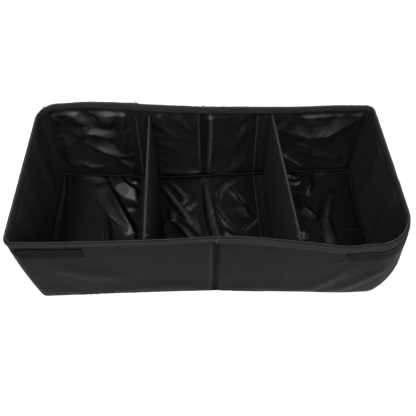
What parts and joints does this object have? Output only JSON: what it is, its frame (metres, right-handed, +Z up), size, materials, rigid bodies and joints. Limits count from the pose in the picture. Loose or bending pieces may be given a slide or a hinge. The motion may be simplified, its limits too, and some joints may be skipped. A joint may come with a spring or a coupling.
{
  "type": "collapsible trunk organizer",
  "caption": "Long open fabric storage box for a car's boot: board-stiffened walls, bound rim, closure strips on the front, and upright dividers that lift out.",
  "frame": {"origin": "on the floor, below the middle of the box's overall length and width", "axes": "+X along the box's length, to the right seen from the wall with the closure strips; +Y to the back; +Z up"},
  "size_m": [0.599, 0.2992, 0.1631],
  "materials": {
    "outer_cloth": "coated black polyester cloth with a soft satin face",
    "lining_cloth": "coated black polyester cloth, glossy and crumpled",
    "divider_cloth": "coated black polyester cloth, drawn flat, matt",
    "binding_tape": "folded black polyester tape with a fine rib",
    "hook_and_loop": "black hook-and-loop tape, rough",
    "board": "grey-brown board, matt"
  },
  "bodies": {
    "box": {"front_cover": "outer_cloth", "front_lining": "lining_cloth", "front_board_left": "board", "front_board_right": "board", "right_end_cover": "outer_cloth", "right_end_lining": "lining_cloth", "right_end_board": "board", "back_cover": "outer_cloth", "back_lining": "lining_cloth", "back_board_right": "board", "back_board_left": "board", "left_end_cover": "outer_cloth", "left_end_lining": "lining_cloth", "left_end_board": "board", "base_cover": "outer_cloth", "base_board_right": "board", "base_board_left": "board", "base_lining": "lining_cloth", "rim_binding": "binding_tape", "floor_seam_binding": "binding_tape", "corner_binding_front_left": "binding_tape", "corner_binding_front_right": "binding_tape", "corner_binding_back_right": "binding_tape", "corner_binding_back_left": "binding_tape", "closure_hook_strip": "hook_and_loop", "closure_loop_strip": "hook_and_loop", "front_loop_strip_left": "hook_and_loop", "back_loop_strip_left": "hook_and_loop", "floor_loop_strip_left": "hook_and_loop", "front_loop_strip_right": "hook_and_loop", "back_loop_strip_right": "hook_and_loop", "floor_loop_strip_right": "hook_and_loop"},
    "divider_left": {"divider_left_board": "board", "divider_left_cover": "divider_cloth", "divider_left_binding": "binding_tape", "divider_left_front_flange": "hook_and_loop", "divider_left_back_flange": "hook_and_loop", "divider_left_foot_flange": "hook_and_loop"},
    "divider_right": {"divider_right_board": "board", "divider_right_cover": "divider_cloth", "divider_right_binding": "binding_tape", "divider_right_front_flange": "hook_and_loop", "divider_right_back_flange": "hook_and_loop", "divider_right_foot_flange": "hook_and_loop"}
  },
  "joints": [
    {"name": "divider_left_lift", "type": "slide", "parent": "box", "child": "divider_left", "axis": [0, 0, 1], "range_m": [0, 0.17]},
    {"name": "divider_right_lift", "type": "slide", "parent": "box", "child": "divider_right", "axis": [0, 0, 1], "range_m": [0, 0.17]}
  ]
}
